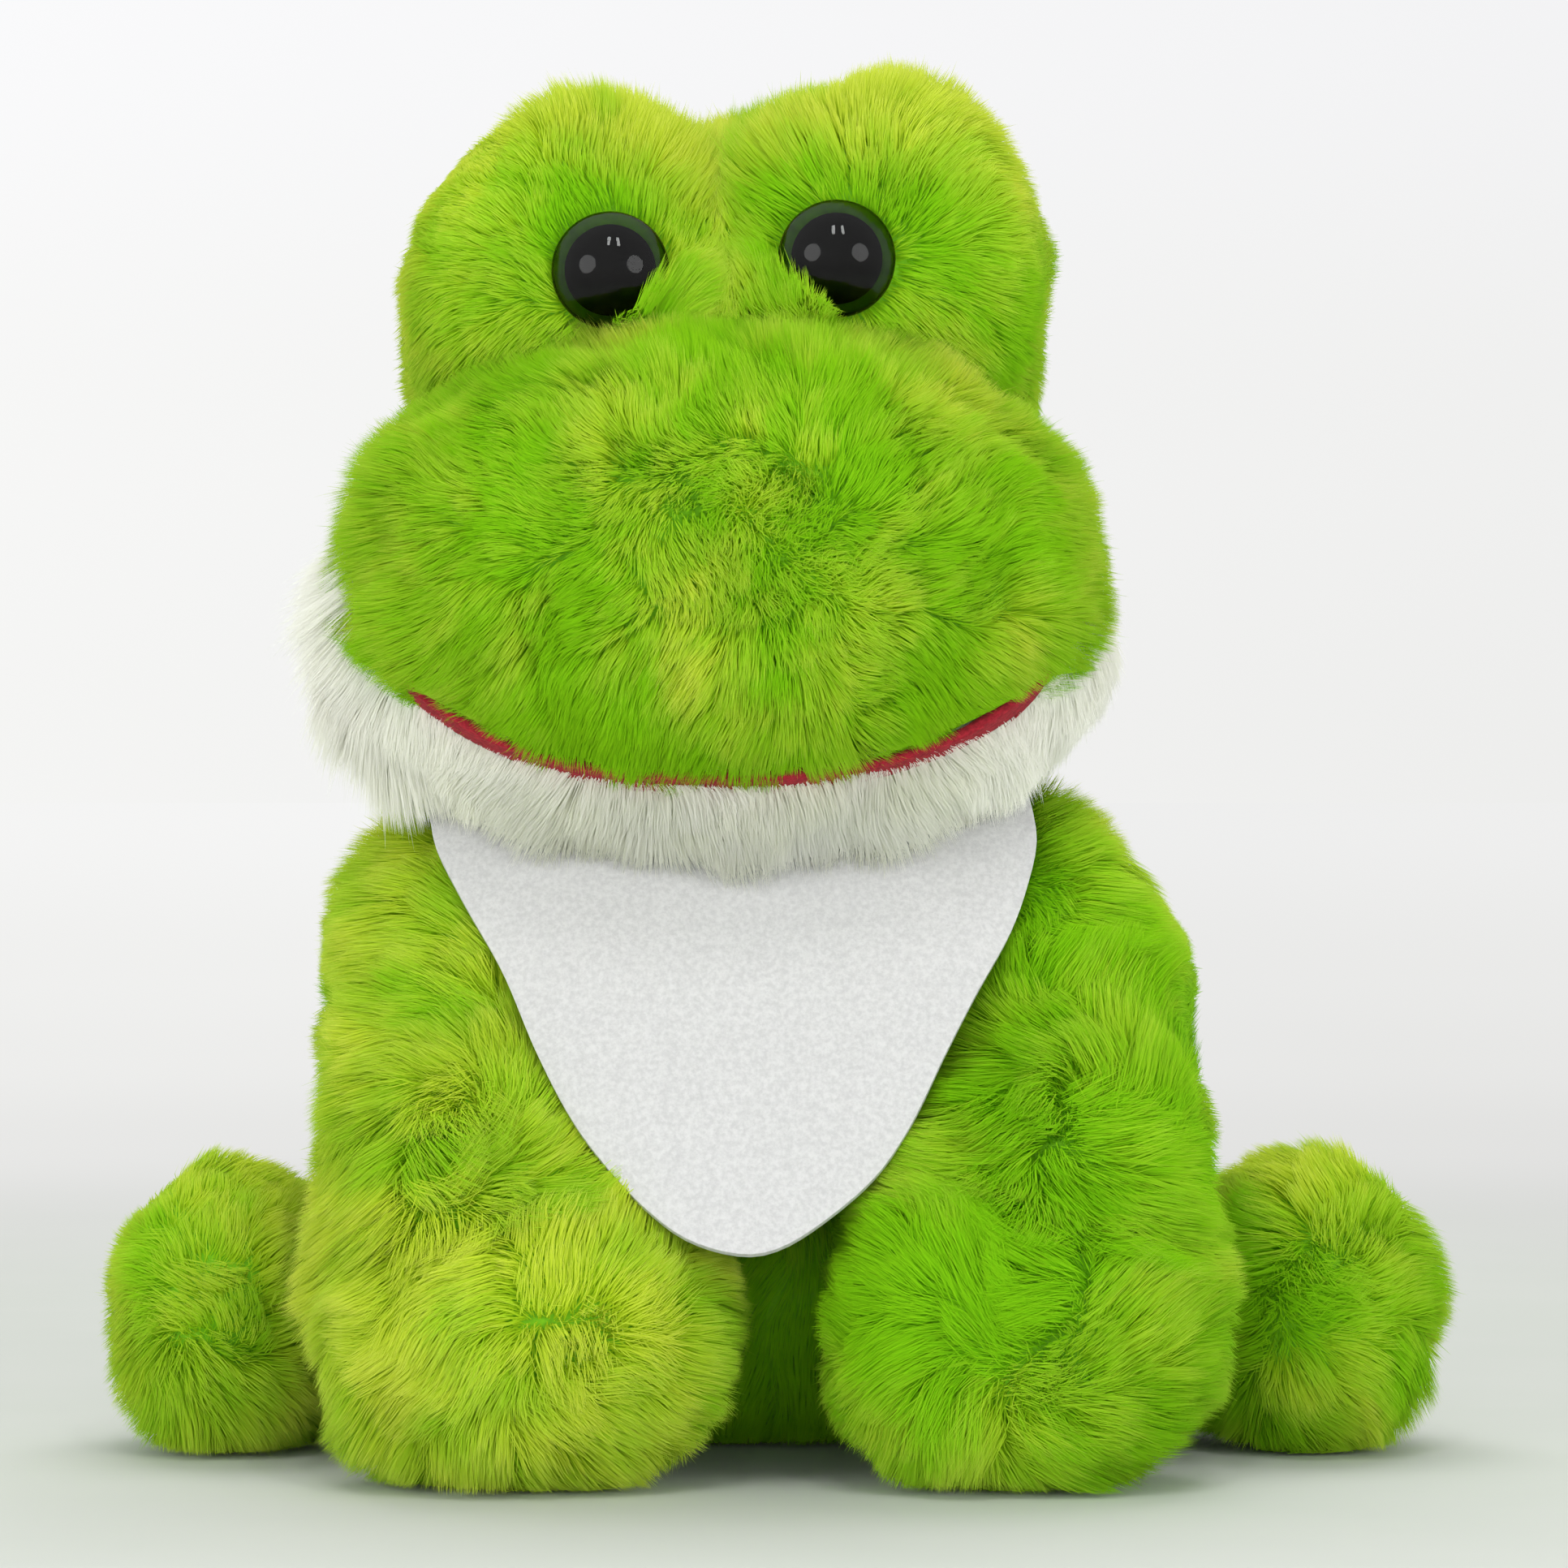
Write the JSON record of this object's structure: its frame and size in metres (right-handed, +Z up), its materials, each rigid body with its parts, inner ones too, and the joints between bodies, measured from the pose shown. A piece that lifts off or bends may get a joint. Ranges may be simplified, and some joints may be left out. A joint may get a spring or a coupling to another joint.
{
  "type": "plush frog",
  "caption": "Seated lime-green plush frog with brow mounds, wide muzzle over a white jaw, safety eyes, jointed soft limbs and a plain white bib.",
  "frame": {"origin": "middle of the body's flat seat, on the surface that the frog sits on", "axes": "+Z up, the frog faces -Y, +X towards the frog's left side (the picture's right)"},
  "size_m": [0.21, 0.1337, 0.2145],
  "materials": {
    "green_fur": "matte",
    "white_fur": "matte",
    "stuffing": "matte",
    "red_felt": "matte",
    "white_felt": "matte",
    "eye_lens": "gloss",
    "eye_pupil": "gloss",
    "eye_washer": "matte"
  },
  "bodies": {
    "torso": {"torso_cover": "green_fur", "torso_filling": "stuffing", "bib_band": "white_felt", "bib_fastener": "white_felt"},
    "neck": {"neck": "green_fur"},
    "head": {"head_cover": "green_fur", "head_filling": "stuffing", "muzzle_cover": "green_fur", "muzzle_filling": "stuffing", "mouth_felt": "red_felt", "jaw_cover": "white_fur", "jaw_filling": "stuffing", "right_eye_lens": "eye_lens", "right_eye_pupil": "eye_pupil", "right_eye_washer": "eye_washer", "left_eye_lens": "eye_lens", "left_eye_pupil": "eye_pupil", "left_eye_washer": "eye_washer"},
    "right_arm": {"right_arm_cover": "green_fur", "right_arm_filling": "stuffing"},
    "left_arm": {"left_arm_cover": "green_fur", "left_arm_filling": "stuffing"},
    "right_leg": {"right_leg_cover": "green_fur", "right_leg_filling": "stuffing"},
    "left_leg": {"left_leg_cover": "green_fur", "left_leg_filling": "stuffing"},
    "bib": {"bib": "white_felt"}
  },
  "joints": [
    {"name": "head_turn", "type": "hinge", "parent": "torso", "child": "neck", "pos_m": [-0.003, -0.022, 0.098], "axis": [0, 0, 1], "range_deg": [-20, 20], "deforming": ["bib"]},
    {"name": "head_nod", "type": "hinge", "parent": "neck", "child": "head", "pos_m": [-0.003, -0.022, 0.098], "axis": [-1, 0, 0], "range_deg": [-5, 12], "deforming": ["bib"]},
    {"name": "right_arm_swing", "type": "hinge", "parent": "torso", "child": "right_arm", "pos_m": [-0.045, -0.027, 0.075], "axis": [-1, 0, 0], "range_deg": [0, 35], "deforming": ["bib"]},
    {"name": "left_arm_swing", "type": "hinge", "parent": "torso", "child": "left_arm", "pos_m": [0.045, -0.027, 0.075], "axis": [-1, 0, 0], "range_deg": [0, 35], "deforming": ["bib"]},
    {"name": "right_leg_swing", "type": "hinge", "parent": "torso", "child": "right_leg", "pos_m": [-0.0403, 0.004, 0.026], "axis": [-1, 0, 0], "range_deg": [0, 60]},
    {"name": "left_leg_swing", "type": "hinge", "parent": "torso", "child": "left_leg", "pos_m": [0.0403, 0.004, 0.026], "axis": [-1, 0, 0], "range_deg": [0, 60]},
    {"name": "bib_lift", "type": "hinge", "parent": "torso", "child": "bib", "pos_m": [-0.003, -0.0488, 0.0925], "axis": [-1, 0, 0], "range_deg": [0, 45]}
  ]
}
